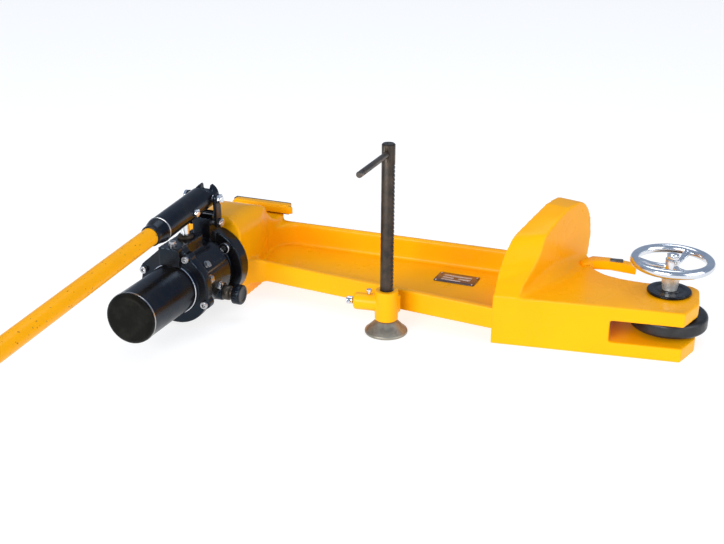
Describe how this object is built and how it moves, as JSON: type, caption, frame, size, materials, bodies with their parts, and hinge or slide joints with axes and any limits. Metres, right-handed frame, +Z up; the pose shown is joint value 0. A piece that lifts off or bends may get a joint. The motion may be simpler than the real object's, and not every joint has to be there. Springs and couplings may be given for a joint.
{
  "type": "hydraulic rail and bar bender",
  "caption": "Manual hydraulic bar and rail bender: bowed steel frame with hand pump and ram, fulcrum fin, eccentric roller with handwheel, and a rack leg.",
  "frame": {"origin": "on the floor, under the middle of the centre block", "axes": "+X along the centre block towards the roller, +Y towards the side the rail lies on, +Z up"},
  "size_m": [1.1492, 1.1664, 0.386],
  "materials": {
    "yellow_paint": "gloss",
    "black_gloss": "gloss",
    "black_matt": "satin",
    "roller_steel": "satin",
    "dark_steel": "oiled",
    "chrome": "polished",
    "steel": "satin",
    "bronze": "satin",
    "seal_rubber": "matt",
    "plate": "satin"
  },
  "bodies": {
    "frame": {"front_flange": "yellow_paint", "rear_flange": "yellow_paint", "beam_web": "yellow_paint", "centre_block": "yellow_paint", "upper_fork_plate": "yellow_paint", "lower_fork_plate": "yellow_paint", "fulcrum_fin": "yellow_paint", "rail_rest": "yellow_paint", "leg_collar": "yellow_paint", "latch_sleeve": "yellow_paint", "sleeve_screw": "chrome", "latch_spring": "dark_steel", "data_plate": "plate", "lower_bush": "bronze", "upper_bush": "bronze", "press_head": "yellow_paint", "ram_barrel": "steel", "ram_gland": "bronze", "return_spring": "dark_steel", "reservoir_tube": "black_gloss", "reservoir_cap": "black_matt", "reservoir_ring": "chrome", "pump_body": "black_gloss", "reservoir_bolt_1": "steel", "reservoir_bolt_2": "steel", "reservoir_bolt_3": "steel", "reservoir_bolt_4": "steel", "mount_screw_1": "black_gloss", "mount_screw_2": "black_gloss", "mount_screw_3": "black_gloss", "mount_screw_4": "black_gloss", "check_valve_plug_1": "black_gloss", "check_valve_plug_2": "black_gloss", "check_valve_plug_3": "black_gloss", "filler_plug": "steel", "release_valve": "dark_steel", "plunger_gland": "dark_steel"},
    "foot": {"leg_foot": "dark_steel"},
    "rack_rod": {"leg_rack_rod": "dark_steel", "leg_crank_bar": "dark_steel"},
    "latch": {"latch_pin": "chrome"},
    "eccentric": {"eccentric_shaft": "steel", "shaft_clip": "dark_steel", "dust_disc": "black_gloss", "handwheel": "chrome", "wheel_nut": "chrome"},
    "roller": {"bending_roller": "roller_steel", "roller_bush": "bronze"},
    "ram": {"ram_piston": "steel", "piston_seal": "seal_rubber", "ram_shoe": "dark_steel", "shoe_guard": "yellow_paint"},
    "valve_knob": {"release_knob": "black_gloss"},
    "plunger": {"pump_plunger": "chrome"},
    "link": {"fulcrum_link": "black_gloss", "link_pin": "steel"},
    "lever": {"lever_socket": "black_gloss", "pump_lever": "yellow_paint", "lever_pivot_pin": "steel", "plunger_pin": "chrome"}
  },
  "joints": [
    {"name": "ram_slide", "type": "slide", "parent": "frame", "child": "ram", "axis": [0.1392, 0.9903, 0], "range_m": [0, 0.07], "deforming": ["return_spring"]},
    {"name": "link_swing", "type": "hinge", "parent": "frame", "child": "link", "pos_m": [-0.71601, -0.04115, 0.18], "axis": [0.9903, -0.1392, 0], "range_deg": [0, 9]},
    {"name": "lever_pump", "type": "hinge", "parent": "link", "child": "lever", "pos_m": [-0.71629, -0.04313, 0.231], "axis": [-0.9903, 0.1392, 0], "range_deg": [0, 38]},
    {"name": "plunger_slide", "type": "slide", "parent": "frame", "child": "plunger", "axis": [0, 0, 1], "range_m": [0, 0.039]},
    {"name": "release_turn", "type": "hinge", "parent": "frame", "child": "valve_knob", "pos_m": [-0.62917, -0.10587, 0.052], "axis": [0.9903, -0.1392, 0], "range_deg": [0, 270]},
    {"name": "leg_slide", "type": "slide", "parent": "frame", "child": "foot", "axis": [0, 0, -1], "range_m": [0, 0.24]},
    {"name": "leg_turn", "type": "hinge", "parent": "foot", "child": "rack_rod", "pos_m": [-0.321, -0.098, 0.1], "axis": [0, 0, 1], "continuous": true},
    {"name": "latch_pull", "type": "slide", "parent": "frame", "child": "latch", "axis": [-1, 0, 0], "range_m": [0, 0.006], "stiffness_N_per_m": 900, "deforming": ["latch_spring"]},
    {"name": "handwheel_turn", "type": "hinge", "parent": "frame", "child": "eccentric", "pos_m": [0.215, 0, 0.1], "axis": [0, 0, 1], "continuous": true},
    {"name": "roller_spin", "type": "hinge", "parent": "eccentric", "child": "roller", "pos_m": [0.219, -0.007, 0.05], "axis": [0, 0, 1], "continuous": true}
  ],
  "couplings": [
    {"joint": "link_swing", "follows": "lever_pump", "ratio": 0.2208},
    {"joint": "plunger_slide", "follows": "lever_pump", "m_per_rad": 0.05774}
  ]
}
